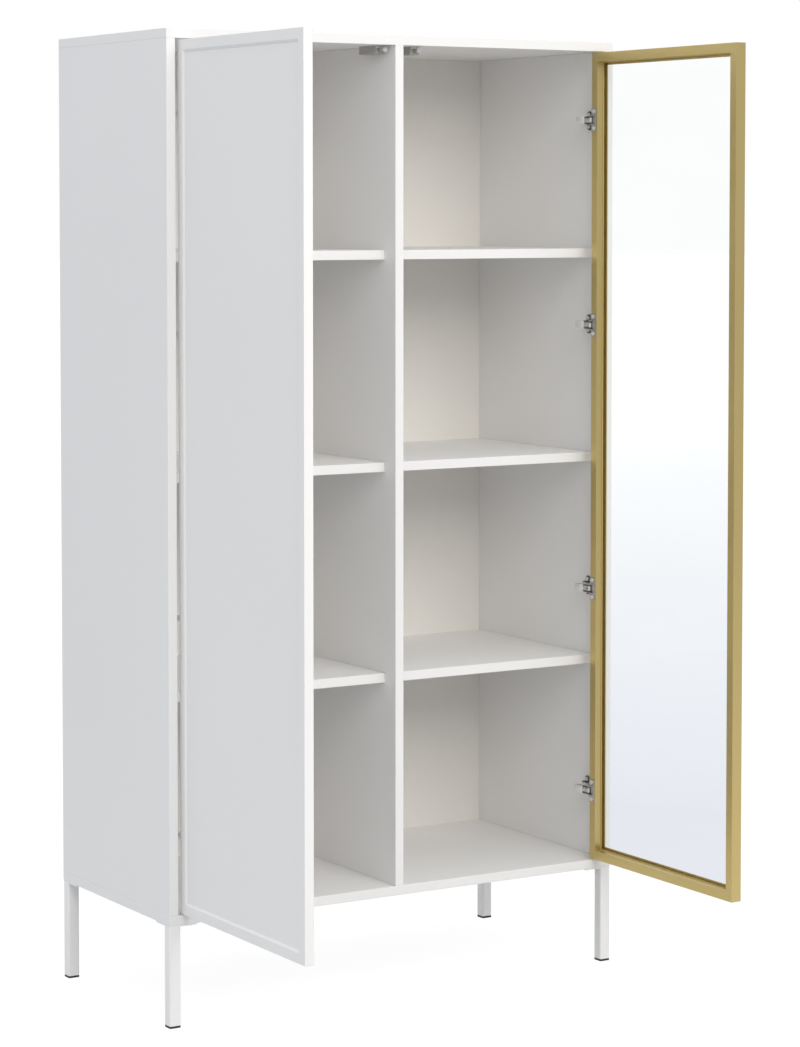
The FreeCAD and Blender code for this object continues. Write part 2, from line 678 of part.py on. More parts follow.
def hinge_arm(side, level):
    """The fixed arm: it lies on the hub and reaches forward and inward to the arm pin."""
    points = [("hub_thick", "arm_back"), ("hub_thick", "hub_front + arm_margin"),
              ("arm_pin_s - 0.8 * arm_round", "arm_pin_b - 0.6 * arm_round"),
              ("arm_pin_s + 0.6 * arm_round", "arm_pin_b + 0.8 * arm_round"),
              ("hub_thick + arm_elbow", "wing_row"), ("hub_thick + arm_tail", "arm_back")]
    loop = [(across(side, s), b) for s, b in points]
    low = f"{level} - arm_half"
    nose = rod("arm_round", "2 * arm_half", (across(side, "arm_pin_s"), "arm_pin_b", low))
    bore = rod("pin_hole", "2 * arm_half + 2", (across(side, "arm_pin_s"), "arm_pin_b", f"{low} - 1"))
    return cut(fused([prism([loop], "2 * arm_half", ("0", "0", low)), nose]), [bore])


def link_plate(side, low):
    """A flat link with two round ends, from the arm pin to the cup pin."""
    ends = [(across(side, f"{pin}_s"), f"{pin}_b") for pin in ("arm_pin", "cup_pin")]
    loop = []
    for pin, edge in (("arm_pin", 1), ("cup_pin", 1), ("cup_pin", -1), ("arm_pin", -1)):
        loop.append((across(side, f"{pin}_s + {edge} * link_side_s"), f"{pin}_b - {edge} * link_side_b"))
    rounds = [rod("link_round", "link_thick", (x, y, low)) for x, y in ends]
    bores = [rod("pin_radius + link_fit", "link_thick + 2", (x, y, f"{low} - 1")) for x, y in ends]
    return cut(fused([prism([loop], "link_thick", ("0", "0", low))] + rounds), bores)


def hinge_pin(side, pin, level, half):
    return rod("pin_radius", f"2 * ({half})", (across(side, f"{pin}_s"), f"{pin}_b", f"{level} - ({half})"))


def hinge_cup(side, level):
    """The bracket on the door: a foot on the stile, slotted for the links, with two ears for the pin."""
    thick = THICK[side]
    base = cup_base(side)
    foot = door_box(side, ("cup_start", "cup_width"), (thick, base), (f"{level} - cup_half", "2 * cup_half"))
    slot = door_box(side, ("-1", "1 + pin_inset + link_round + slot_room"), (f"{thick} - 1", "pin_depth"),
                    (f"{level} - ear_low", "2 * ear_low"))
    ears = []
    for low in (f"{level} + ear_low", f"{level} - ear_low - ear_thick"):
        ears.append(door_box(side, ("pin_inset", "ear_length"), (thick, f"pin_depth + link_round - {thick}"),
                             (low, "ear_thick")))
        ears.append(rod("link_round", "ear_thick", (across(side, "cup_pin_s"), "cup_pin_b", low)))
    bore = rod("pin_hole", "2 * (ear_low + ear_thick) + 2",
               (across(side, "cup_pin_s"), "cup_pin_b", f"{level} - ear_low - ear_thick - 1"))
    screw_holes = []
    for step in (-1, 1):
        start = (f"{side} * (door_face - {thick} - {base} - 1)", "open_back - cup_screw_in",
                 f"{level} + {step} * cup_screw_step")
        screw_holes.append(rod("hinge_screw_radius + fit_clear", f"{base} + 2", start, OUTWARD[side]))
    return cut(fused([cut(foot, [slot])] + ears), [bore] + screw_holes)


# ---------------------------------------------------------------- push latches

def make_latch(side):
    """A push latch under the top panel: a block with a bore, and a sprung plunger with a round head."""
    word = SIDES[side]
    middle = f"{side} * {word}_latch_off"
    body = board(("latch_wide", "latch_long", "latch_tall"),
                 (f"{middle} - latch_wide / 2", "latch_front", "roof_under - latch_tall"),
                 radius="latch_edge")
    bore = rod("latch_bore", "latch_bore_long + 1", (middle, "latch_front - 1", "latch_level"), "y")
    screws = []
    holes = []
    for step in (-1, 1):
        spot = (f"{middle} + {step} * latch_screw_off", "latch_screw_row", "roof_under - latch_tall")
        screws.append(screw("latch_screw_radius", "latch_screw_length", "latch_screw_head",
                            "latch_screw_head_thick", spot, "z"))
        hole = rod("latch_screw_radius + fit_clear", "latch_screw_length + hole_extra", spot)
        holes.append(hole)
        HOLES["top_panel"].append(hole)
    node(f"{word}_latch_body", cut(body, [bore] + holes, f"{word}_latch_body"))

    tip = f"({THICK[side]} + plunger_gap)"
    head = rod("plunger_head", "plunger_head_thick", (middle, tip, "latch_level"), "y")
    rib_start = f"{tip} + plunger_head_thick / 2"
    rib_long = f"latch_front + plunger_in - ({rib_start})"
    flat = box(("2 * plunger_half", rib_long, "plunger_rib"),
               (f"{middle} - plunger_half", rib_start, "latch_level - plunger_rib / 2"))
    tall = box(("plunger_rib", rib_long, "2 * plunger_half"),
               (f"{middle} - plunger_rib / 2", rib_start, "latch_level - plunger_half"))
    node(f"{word}_latch_plunger", fused([head, flat, tall], f"{word}_latch_plunger"))

    coil = doc.addObject("Part::Helix", f"{word}_coil")
    bind(coil, "Radius", "spring_radius")
    bind(coil, "Pitch", "spring_pitch")
    bind(coil, "Height", "latch_bore_long - plunger_in - 2 * (spring_wire + spring_play)")
    wire = doc.addObject("Part::Circle", f"{word}_wire")
    bind(wire, "Radius", "spring_wire")
    place(wire, ("spring_radius", "0", "0"), FreeCAD.Rotation(V(1, 0, 0), 90))
    spring = doc.addObject("Part::Sweep", f"{word}_latch_spring")
    spring.Sections = [wire]
    spring.Spine = (coil, ["Edge1"])
    spring.Solid = True
    spring.Frenet = True
    place(spring, (middle, "latch_front + plunger_in + spring_wire + spring_play", "latch_level"), TURN["y"])
    node(f"{word}_latch_spring", spring)
    return screws


# ---------------------------------------------------------------- build, check and write

def check(item):
    """Stop on any object that failed without saying so."""
    if {"Invalid", "Error"} & set(item.State):
        raise RuntimeError(f"{item.Label} failed: {item.State}")


def main():
    make_boards()
    make_dowels()
    make_panel_screws()
    make_shelf_pins()
    make_nails()
    make_legs()
    make_panel_door()
    make_glass_door()
    for side in SIDES:
        make_hinges(side)
    make_wing_screws()
    latch_screws = []
    for side in SIDES:
        latch_screws += make_latch(side)
    node("latch_screws", group(latch_screws, "latch_screws"))
    finish_boards()
    doc.recompute()
    for item in doc.Objects:
        check(item)
    for name, item in NODES.items():
        if item.Shape.isNull() or not item.Shape.isValid() or not item.Shape.Solids:
            raise RuntimeError(f"{name} has no valid solid")
    os.makedirs("parts", exist_ok=True)
    for name, item in NODES.items():
        item.Shape.exportStep(f"parts/{name}.step")
        print(f"{name}: {len(item.Shape.Solids)} solids, {item.Shape.Volume:.0f} mm3")


main()
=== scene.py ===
"""Two-door bookcase: its finishes, the small hardware of its hinges, legs and latches, and the studio.

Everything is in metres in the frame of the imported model: X to the right, Y to the back, Z up, and the floor
at zero.
"""
import json
import math

import bmesh
import bpy
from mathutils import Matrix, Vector


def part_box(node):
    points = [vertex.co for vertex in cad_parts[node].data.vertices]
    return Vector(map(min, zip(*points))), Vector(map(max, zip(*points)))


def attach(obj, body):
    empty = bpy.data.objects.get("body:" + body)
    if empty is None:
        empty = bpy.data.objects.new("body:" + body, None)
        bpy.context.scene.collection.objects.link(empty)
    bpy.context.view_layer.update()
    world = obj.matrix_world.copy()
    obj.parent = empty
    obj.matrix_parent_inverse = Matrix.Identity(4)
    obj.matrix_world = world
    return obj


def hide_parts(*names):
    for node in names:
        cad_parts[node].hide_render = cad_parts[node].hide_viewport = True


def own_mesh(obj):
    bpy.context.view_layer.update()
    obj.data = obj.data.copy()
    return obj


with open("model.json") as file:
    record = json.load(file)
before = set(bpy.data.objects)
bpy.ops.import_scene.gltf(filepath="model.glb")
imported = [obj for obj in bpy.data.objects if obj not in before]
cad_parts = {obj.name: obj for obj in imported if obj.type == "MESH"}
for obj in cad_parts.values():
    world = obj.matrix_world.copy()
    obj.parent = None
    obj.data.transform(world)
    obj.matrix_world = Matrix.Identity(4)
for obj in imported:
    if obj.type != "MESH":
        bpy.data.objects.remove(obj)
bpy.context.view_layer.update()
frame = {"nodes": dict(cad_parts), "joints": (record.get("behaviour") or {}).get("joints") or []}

bl_info = {
    "name": "Two-door bookcase",
    "version": (1, 0, 0),
    "blender": (4, 5, 0),
    "location": "View3D > Sidebar > Bookcase",
    "description": "Finishes a two-door bookcase and sets it in a plain studio",
    "category": "Object",
}

MM = 0.001
UP = Vector((0, 0, 1))
BACK = Vector((0, 1, 0))
SIDES = {"left": -1, "right": 1}  # which way along X each side lies
SHARP_ANGLE = math.radians(40)
WHITE = (1.0, 1.0, 1.0, 1.0)


def linear(*channels):
    """A display colour of 0 to 255 as the linear colour that the shaders use."""
    scaled = [channel / 255 for channel in channels]
    return tuple(c / 12.92 if c <= 0.04045 else ((c + 0.055) / 1.055) ** 2.4 for c in scaled)


def colour_property(name, description, *channels):
    return bpy.props.FloatVectorProperty(name=name, description=description, subtype="COLOR", size=3,
                                         min=0.0, max=1.0, default=linear(*channels))


def length_property(name, description, millimetres):
    return bpy.props.FloatProperty(name=name, description=description, subtype="DISTANCE", unit="LENGTH",
                                   min=0.0, default=millimetres * MM)


def factor_property(name, description, default, high=1.0):
    return bpy.props.FloatProperty(name=name, description=description, min=0.0, max=high, default=default)


def place_property(name, description, *metres):
    return bpy.props.FloatVectorProperty(name=name, description=description, subtype="TRANSLATION",
                                         unit="LENGTH", size=3, default=metres)


def angle_property(name, description, radians):
    return bpy.props.FloatProperty(name=name, description=description, unit="ROTATION", default=radians)


# ---------------------------------------------------------------- shader building

class Value:
    """The output of a shader node, used in Python expressions that add Math nodes."""

    def __init__(self, shader, socket):
        self.shader = shader
        self.socket = socket

    def _math(self, operation, *inputs):
        return self.shader.node("ShaderNodeMath", {"operation": operation}, dict(enumerate(inputs)))

    def __add__(self, other):
        return self._math("ADD", self, other)

    def __radd__(self, other):
        return self._math("ADD", other, self)

    def __sub__(self, other):
        return self._math("SUBTRACT", self, other)

    def __rsub__(self, other):
        return self._math("SUBTRACT", other, self)

    def __mul__(self, other):
        return self._math("MULTIPLY", self, other)

    def __rmul__(self, other):
        return self._math("MULTIPLY", other, self)

    def __pow__(self, other):
        return self._math("POWER", self, other)

    def __rpow__(self, other):
        return self._math("POWER", other, self)

    def __gt__(self, other):
        return self._math("GREATER_THAN", self, other)

    def __lt__(self, other):
        return self._math("LESS_THAN", self, other)

    def clamped(self, low, high):
        """How far the value has come from low to high, as 0 to 1."""
        return self.shader.node("ShaderNodeMapRange", {"clamp": True},
                                {"Value": self, "From Min": low, "From Max": high})


class Shader:
    """A node tree under construction, of a material or of the world."""

    # The sockets of a Mix node that take and give colours
    MIX_FACTOR, MIX_FIRST, MIX_SECOND, MIX_RESULT = 0, 6, 7, 2

    def __init__(self, owner):
        owner.use_nodes = True
        self.owner = owner
        self.tree = owner.node_tree
        self.tree.nodes.clear()

    def node(self, kind, settings=None, inputs=None, output=0):
        """Adds a node: its settings first, then the values or links of its sockets."""
        made = self.tree.nodes.new(kind)
        for name, setting in (settings or {}).items():
            setattr(made, name, setting)
        for name, value in (inputs or {}).items():
            if isinstance(value, Value):
                self.tree.links.new(value.socket, made.inputs[name])
            else:
                made.inputs[name].default_value = value
        return Value(self, made.outputs[output]) if made.outputs else None

    def place(self):
        """The point on the piece, in metres."""
        return self.node("ShaderNodeTexCoord", output="Object")

    def stretched(self, x, y, z):
        """The point on the piece, times a number for each axis."""
        return self.node("ShaderNodeVectorMath", {"operation": "MULTIPLY"}, {0: self.place(), 1: (x, y, z)})

    def noise(self, place, scale=1.0, detail=2.0, rough=0.5):
        return self.node("ShaderNodeTexNoise",
                         inputs={"Vector": place, "Scale": scale, "Detail": detail, "Roughness": rough})

    def blend(self, factor, first, second):
        """Mixes two colours."""
        return self.node("ShaderNodeMix", {"data_type": "RGBA"},
                         {self.MIX_FACTOR: factor, self.MIX_FIRST: first, self.MIX_SECOND: second},
                         output=self.MIX_RESULT)

    def mixed(self, factor, first, second):
        """Mixes two shaders."""
        return self.node("ShaderNodeMixShader", inputs={0: factor, 1: first, 2: second})

    def tone(self, mask, colour, start, end):
        """A colour that goes from one share of its brightness to another as the mask goes from 0 to 1."""
        return self.blend(mask, opaque(colour, start), opaque(colour, end))

    def bump(self, height, strength, distance, normal=None):
        inputs = {"Height": height, "Strength": strength, "Distance": distance}
        if normal:
            inputs["Normal"] = normal
        return self.node("ShaderNodeBump", inputs=inputs)

    def soft_edges(self, radius):
        """The surface direction with every sharp edge rounded."""
        return self.node("ShaderNodeBevel", {"samples": 4}, {"Radius": radius})

    def axis(self, direction, name):
        """One part of a direction."""
        return self.node("ShaderNodeSeparateXYZ", inputs={"Vector": direction}, output=name)

    def surface(self, **inputs):
        """Closes the material with a principled surface."""
        named = {name.replace("_", " "): value for name, value in inputs.items()}
        return self.output(self.node("ShaderNodeBsdfPrincipled", inputs=named))

    def output(self, shaded):
        """Closes the tree, and returns the material or the world that it belongs to."""
        kind = "World" if isinstance(self.owner, bpy.types.World) else "Material"
        self.node(f"ShaderNodeOutput{kind}", inputs={"Surface": shaded})
        return self.owner


def opaque(colour, level=1.0):
    """A colour with an alpha of one, at a share of its brightness."""
    return (*(channel * level for channel in colour), 1.0)


def new_shader(name):
    return Shader(bpy.data.materials.new(name))


# ---------------------------------------------------------------- finishes

def coated_board(name, colour, rough):
    """Smooth foil or lacquer on a board: a slow drift of tone, a fine spray grain and softened edges."""
    shader = new_shader(name)
    point = shader.place()
    drift = shader.noise(point, scale=2.2, detail=3.0)
    grain = shader.noise(point, scale=1400.0, rough=0.6)
    ripple = shader.noise(point, scale=160.0)
    height = grain * 0.35 + ripple * 0.65
    return shader.surface(
        Base_Color=shader.tone(drift * 0.8 + grain * 0.2, colour, start=0.965, end=1.02),
        Roughness=drift * 0.10 + grain * 0.06 + (rough - 0.08),
        IOR=1.48,
        Normal=shader.bump(height, strength=0.10, distance=0.12 * MM, normal=shader.soft_edges(0.5 * MM)),
    )


def fibreboard(name, colour):
    """The foil of the back sheets: warm, dull, with a faint upright fibre."""
    shader = new_shader(name)
    fibre = shader.noise(shader.stretched(900, 900, 40), detail=4.0, rough=0.6)
    cloud = shader.noise(shader.place(), scale=9.0, detail=3.0)
    return shader.surface(
        Base_Color=shader.tone(fibre * 0.45 + cloud * 0.55, colour, start=0.955, end=1.035),
        Roughness=0.52 + fibre * 0.12,
        Normal=shader.bump(fibre, strength=0.12, distance=0.1 * MM),
    )


def powder_coat(name, colour):
    """Baked powder on steel: fine orange peel, slightly glossy."""
    shader = new_shader(name)
    point = shader.place()
    peel = shader.noise(point, scale=950.0)
    drift = shader.noise(point, scale=14.0)
    return shader.surface(
        Base_Color=shader.tone(drift * 0.7 + peel * 0.3, colour, start=0.96, end=1.02),
        Roughness=0.34 + peel * 0.12,
        Normal=shader.bump(peel, strength=0.22, distance=0.12 * MM, normal=shader.soft_edges(0.4 * MM)),
    )


def brushed_metal(name, colour, along, rough):
    """Metal with fine lines brushed along one axis."""
    shader = new_shader(name)
    line = shader.noise(shader.stretched(*(18 if axis == along else 5200 for axis in "XYZ")),
                        detail=3.0, rough=0.65)
    patch = shader.noise(shader.stretched(*(2 if axis == along else 90 for axis in "XYZ")))
    mottle = line * 0.7 + patch * 0.3
    return shader.surface(
        Base_Color=shader.tone(mottle, colour, start=0.88, end=1.072),
        Metallic=0.86,
        Roughness=(rough - 0.07) + mottle * 0.16,
        Normal=shader.bump(line, strength=0.10, distance=0.06 * MM, normal=shader.soft_edges(0.35 * MM)),
    )


def plated_steel(name, colour, rough, metal=1.0):
    """Bright plated steel from a press: slight waves, tiny pits and softened edges."""
    shader = new_shader(name)
    point = shader.place()
    wave = shader.noise(point, scale=240.0)
    pit = shader.noise(point, scale=2600.0, rough=0.7)
    height = wave * 0.7 + pit * 0.3
    return shader.surface(
        Base_Color=shader.tone(wave * 0.6 + pit * 0.4, colour, start=0.93, end=1.05),
        Metallic=metal,
        Roughness=rough + wave * 0.14,
        Normal=shader.bump(height, strength=0.18, distance=0.12 * MM, normal=shader.soft_edges(0.25 * MM)),
    )


def moulded_plastic(name, colour, rough):
    """Spark-textured plastic."""
    shader = new_shader(name)
    point = shader.place()
    spark = shader.noise(point, scale=1700.0, detail=3.0, rough=0.6)
    flow = shader.noise(point, scale=60.0)
    return shader.surface(
        Base_Color=shader.tone(spark * 0.4 + flow * 0.6, colour, start=0.90, end=1.05),
        Roughness=rough + spark * 0.16,
        Normal=shader.bump(spark, strength=0.35, distance=0.1 * MM, normal=shader.soft_edges(0.3 * MM)),
    )


def rubber(name, colour):
    """Dull rubber with a dusty bloom where it nears the floor."""
    dust_height = 3.0 * MM
    shader = new_shader(name)
    point = shader.place()
    speck = shader.noise(point, scale=900.0, detail=3.0, rough=0.65)
    bloom = shader.noise(point, scale=120.0) * (1 - shader.axis(point, "Z").clamped(0.0, dust_height))
    return shader.surface(
        Base_Color=shader.tone(bloom * 0.5 + speck * 0.3, colour, start=0.85, end=1.7),
        Roughness=0.62 + speck * 0.2,
        Normal=shader.bump(speck, strength=0.3, distance=0.12 * MM, normal=shader.soft_edges(0.3 * MM)),
    )


def seal_rubber(name, colour):
    """The soft pale seal round the glass."""
    shader = new_shader(name)
    speck = shader.noise(shader.place(), scale=700.0)
    return shader.surface(
        Base_Color=shader.tone(speck, colour, start=0.85, end=1.1),
        Roughness=0.5 + speck * 0.2,
        Normal=shader.bump(speck, strength=0.2, distance=0.08 * MM),
    )


def bare_beech(name, colour):
    """Dowel wood: straight grain with darker flecks along it."""
    shader = new_shader(name)
    grain = shader.noise(shader.stretched(1500, 1500, 60), detail=4.0, rough=0.6)
    fleck = shader.noise(shader.stretched(2600, 2600, 420)).clamped(0.62, 0.72)
    return shader.surface(
        Base_Color=shader.tone(grain * 0.7 + fleck * 0.3, colour, start=1.05, end=0.62),
        Roughness=0.55 + grain * 0.15,
        Normal=shader.bump(grain, strength=0.3, distance=0.1 * MM),
    )


def clear_glass(name, tint, gloss):
    """A thin clear pane with a cool tint, a faint reflection and the odd wiping mark."""
    head_on = 0.04  # the share of light that a glass face reflects straight back
    falloff = 5  # how steeply it reflects more towards its edge
    shader = new_shader(name)
    wipe = shader.noise(shader.stretched(3, 3, 9), detail=4.0, rough=0.6).clamped(0.45, 0.8)
    clean, wiped = (shader.node("ShaderNodeBsdfTransparent", inputs={"Color": opaque(tint, level)})
                    for level in (1.0, 0.992))
    shine = shader.node("ShaderNodeBsdfGlossy", inputs={"Color": WHITE, "Roughness": wipe * 0.05})
    facing = shader.node("ShaderNodeLayerWeight", inputs={"Blend": 0.5}, output="Facing")
    reflected = (facing ** falloff * (1 - head_on) + head_on) * gloss
    return shader.output(shader.mixed(reflected, shader.mixed(wipe, clean, wiped), shine))


# ---------------------------------------------------------------- settings

class BookcaseFinish(bpy.types.PropertyGroup):
    """Colours and roughness of the bookcase's finishes."""

    board: colour_property("Board", "Foil on the boards and the panel door", 242, 241, 240)
    back: colour_property("Back", "Foil on the two back sheets", 238, 235, 230)
    leg: colour_property("Legs", "Powder coat on the legs", 248, 247, 246)
    gold: colour_property("Gold", "Anodised bars of the glass door", 216, 194, 131)
    nickel: colour_property("Nickel", "Hinge arms and the covers over their links", 236, 235, 234)
    cup_nickel: colour_property("Cup nickel", "Hinge feet on the doors", 196, 195, 190)
    dark_nickel: colour_property("Dark nickel", "Hinge wing plates and links", 116, 115, 112)
    zinc: colour_property("Zinc", "Screws, pins and springs", 238, 238, 239)
    latch: colour_property("Latch body", "Plastic of the latch bodies", 178, 175, 170)
    clip: colour_property("Latch clip", "Plastic of the clips at the latches' fronts", 250, 250, 248)
    plunger: colour_property("Plunger", "Plastic of the latch plungers", 206, 206, 205)
    foot: colour_property("Foot caps", "Rubber under the legs", 52, 52, 54)
    seal: colour_property("Glass seal", "Seal round the glass", 214, 188, 122)
    beech: colour_property("Beech", "Wood of the dowels", 222, 187, 140)
    glass: colour_property("Glass tint", "What the glass lets through", 254, 255, 255)
    glass_gloss: factor_property("Glass gloss", "Share of a real pane's reflection", 0.15)
    board_rough: factor_property("Board roughness", "How dull the boards are", 0.48)
    gold_rough: factor_property("Gold roughness", "How dull the gold bars are", 0.36)


class BookcaseHardware(bpy.types.PropertyGroup):
    """Sizes of the small hardware that is added to the hinges, the legs and the latches."""

    adjuster_radius: length_property("Adjuster radius", "Head of the adjusting screws on the hinge arms", 2.7)
    adjuster_height: length_property("Adjuster height", "How far those heads stand out", 1.0)
    spring_wire: length_property("Spring wire", "Radius of the closing springs' wire", 0.45)
    spring_radius: length_property("Spring radius", "Radius of the closing springs' coil", 2.0)
    cover_gap: length_property("Link cover gap", "From the pins' line to the cover over the links", 4.4)
    cover_thick: length_property("Link cover", "Thickness of the cover over the links", 0.8)
    liner_thick: length_property("Liner", "Thickness of the plate under the links on the door", 0.4)
    latch_wire: length_property("Latch spring wire", "Radius of the wire of the springs in the latches", 0.35)
    latch_pitch: length_property("Latch spring pitch", "From turn to turn of those springs", 2.6)
    latch_travel: length_property("Latch travel", "How far a plunger goes in", 6.0)
    weld_size: length_property("Weld", "Leg of the weld between tube and plate", 2.0)


class BookcaseStudio(bpy.types.PropertyGroup):
    """Light, floor and camera."""

    horizon: factor_property("Horizon", "Brightness of the air at eye level", 0.88, 3.0)
    overhead: factor_property("Overhead", "How much brighter the air is overhead", 0.20, 3.0)
    front_dip: factor_property("Front dip", "How much dimmer the air is in front of the bookcase", 0.38)
    air: colour_property("Air", "Tint of the light from all round", 247, 250, 255)
    key: bpy.props.FloatProperty(name="Key", description="Power of the large front light", unit="POWER",
                                 min=0.0, default=172.0)
    key_colour: colour_property("Key colour", "Tint of the front light", 255, 251, 244)
    key_size: bpy.props.FloatVectorProperty(name="Key size", description="Width and height of that light",
                                            unit="LENGTH", size=2, min=0.0, default=(4.5, 3.0))
    key_place: place_property("Key place", "Where the front light hangs", -0.4, -4.9, 3.6)
    key_aim: place_property("Key aim", "What the front light points at", 0.0, 0.0, 1.1)
    floor: colour_property("Floor", "The studio floor", 192, 192, 192)
    floor_shine: factor_property("Floor brightness", "How white the floor shows", 1.30, 3.0)
    shadow: factor_property("Floor shadow", "How much of the real shading the floor shows", 0.32)
    # Painted reflection: the near floor's tint seen through the pane, which darkens the glass towards its
    # foot.
    painted_reflection_behind_glass: colour_property("Floor behind glass", "The near floor as seen through the pane",
                                        220, 221, 229)
    lens: bpy.props.FloatProperty(name="Lens", description="Focal length in millimetres", min=1.0,
                                  default=104.8047)
    eye: place_property("Eye", "Where the camera stands", -2.52043, -4.122259, 1.261375)
    turn: angle_property("Turn", "Camera heading from the +Y axis", -0.54891)
    tilt: angle_property("Tilt", "Camera tilt above level", -0.052618)
    shift: bpy.props.FloatProperty(name="Shift", description="Upright lens shift", default=-0.15)


# ---------------------------------------------------------------- helpers for pieces

def coat(material, *names):
    """Gives the named nodes of the frame one material."""
    for name in names:
        node = frame["nodes"][name]
        node.data.materials.clear()
        node.data.materials.append(material)


def names_with(*parts):
    """The frame's nodes whose name holds any of the words."""
    return [name for name in sorted(frame["nodes"]) if any(part in name for part in parts)]


def new_piece(name, build, material, body):
    """Makes a piece from mesh code, and says what it rides on and which finish it takes."""
    shape = bmesh.new()
    build(shape)
    bmesh.ops.recalc_face_normals(shape, faces=shape.faces)
    data = bpy.data.meshes.new(name)
    shape.to_mesh(data)
    shape.free()
    data.shade_smooth()
    data.set_sharp_from_angle(angle=SHARP_ANGLE)
    piece = bpy.data.objects.new(name, data)
    bpy.context.collection.objects.link(piece)
    piece.data.materials.append(material)
    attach(piece, body)
    return piece


def ring(shape, points):
    return [shape.verts.new(point) for point in points]


def skin(shape, rings):
    """Joins a run of rings with faces, and caps its ends."""
    for low, high in zip(rings, rings[1:]):
        for index in range(len(low)):
            after = (index + 1) % len(low)
            shape.faces.new((low[index], low[after], high[after], high[index]))
    shape.faces.new(list(reversed(rings[0])))
    shape.faces.new(rings[-1])


def box(shape, low, high):
    """A plain block between two corners."""
    skin(shape, [ring(shape, [(low[0], low[1], z), (high[0], low[1], z), (high[0], high[1], z),
                              (low[0], high[1], z)]) for z in (low[2], high[2])])


def screw_head(shape, start, way, radius, height):
    """A domed head with a cross recess, standing on start along way."""
    steps = 32
    dome = ((1.0, -0.15), (1.0, 0.45), (0.94, 0.78), (0.80, 0.95), (0.62, 1.0))  # shares of radius and height
    recess_floor = 0.35  # share of the height
    hub, arms = 0.14, 0.42  # the recess's middle, and how far its arms go beyond, as shares of the radius
    waist, taper = 0.25, 1.6  # how full the recess is between its arms, and how they narrow
    side = way.cross(UP).normalized()
    up = side.cross(way)
    turns = [2 * math.pi * step / steps for step in range(steps)]
    cross = [radius * (hub + arms * max(abs(math.cos(2 * turn)), waist) ** taper) for turn in turns]

    def outline(rise, reaches):
        return ring(shape, [start + way * (height * rise)
                            + (side * math.cos(turn) + up * math.sin(turn)) * reach
                            for turn, reach in zip(turns, reaches)])

    rings = [outline(rise, [radius * share] * steps) for share, rise in dome]
    skin(shape, rings + [outline(1.0, cross), outline(recess_floor, cross)])


def coil(shape, centre, along, radius, wire, half, turns):
    """A spring about an axis, which runs half its length each way from its centre."""
    steps_per_turn, sides = 20, 8
    steps = round(turns * steps_per_turn)
    side = Vector((along.z, along.x, along.y))
    other = along.cross(side)
    bends = [2 * math.pi * part / sides for part in range(sides)]
    rings = []
    for step in range(steps + 1):
        turn = 2 * math.pi * turns * step / steps
        out = side * math.cos(turn) + other * math.sin(turn)
        middle = centre + out * radius + along * (half * (2 * step / steps - 1))
        rings.append(ring(shape, [middle + (out * math.cos(bend) + along * math.sin(bend)) * wire
                                  for bend in bends]))
    skin(shape, rings)


# ---------------------------------------------------------------- operators

class OBJECT_OT_bookcase_boards(bpy.types.Operator):
    """Coat the boards, the shelves and the back sheets"""

    bl_idname = "object.bookcase_boards"
    bl_label = "Boards"

    def execute(self, context):
        finish = context.scene.bookcase_finish
        white = coated_board("white_foil", finish.board, finish.board_rough)
        coat(white, "top_panel", "bottom_panel", "left_side_panel", "right_side_panel", "centre_divider",
             *names_with("_shelf"))
        coat(fibreboard("cream_foil", finish.back), *names_with("_back_panel"))
        return {"FINISHED"}


class OBJECT_OT_bookcase_legs(bpy.types.Operator):
    """Coat the legs and their foot caps, and weld the tubes to their plates"""

    bl_idname = "object.bookcase_legs"
    bl_label = "Legs"

    def execute(self, context):
        finish = context.scene.bookcase_finish
        hardware = context.scene.bookcase_hardware
        white = powder_coat("white_powder", finish.leg)
        coat(white, *names_with("_leg"))
        coat(rubber("black_rubber", finish.foot), *names_with("foot_cap"))
        for leg in names_with("_leg"):
            new_piece(f"{leg}_weld", lambda shape: self.weld(shape, leg, hardware.weld_size), white,
                      "cabinet")
        return {"FINISHED"}

    @staticmethod
    def weld(shape, leg, size):
        """A rippled bead under one leg's plate, along the two sides of its tube that face inwards."""
        plate, corner = 2.0 * MM, 2.5 * MM  # the plate's thickness, and the radius of the tube's corners
        steps, bends = 14, 5  # steps along each side of the tube, and round its corner
        ripple, ripple_turn = 0.15, 2.1  # how deep the ripples are, and how far they turn from step to step
        end_share = 0.35  # how thick the bead's ends are
        # Out from the tube and down from the plate, as shares of the bead's size
        section = ((-0.1, 0.0), (1.0, 0.0), (0.72, 0.34), (0.34, 0.72), (0.0, 1.0), (-0.1, 1.0))
        low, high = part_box(leg.replace("leg", "foot_cap"))
        middle = (low + high) / 2
        cabinet_low, cabinet_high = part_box("bottom_panel")
        centre = (cabinet_low + cabinet_high) / 2
        inward = Vector((-1 if middle.x > centre.x else 1, -1 if middle.y > centre.y else 1, 0))
        plate_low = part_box(leg)[1].z - plate
        half = (high.x - low.x) / 2
        straight = half - corner
        path = []
        for step in range(steps + 1):
            path.append((Vector((half, -straight + 2 * straight * step / steps, 0)), Vector((1, 0, 0))))
        for step in range(1, bends):
            angle = step * math.pi / (2 * bends)
            way = Vector((math.cos(angle), math.sin(angle), 0))
            path.append((Vector((straight, straight, 0)) + way * corner, way))
        for step in range(steps + 1):
            path.append((Vector((straight - 2 * straight * step / steps, half, 0)), BACK))
        rings = []
        for index, (point, way) in enumerate(path):
            swell = size * (1 - ripple + ripple * math.cos(index * ripple_turn))
            if index in (0, len(path) - 1):
                swell *= end_share
            rounded = []
            for out, down in section:
                spot = point + way * (out * swell)
                rounded.append((middle.x + spot.x * inward.x, middle.y + spot.y * inward.y,
                                plate_low - down * swell))
            rings.append(ring(shape, rounded))
        skin(shape, rings)


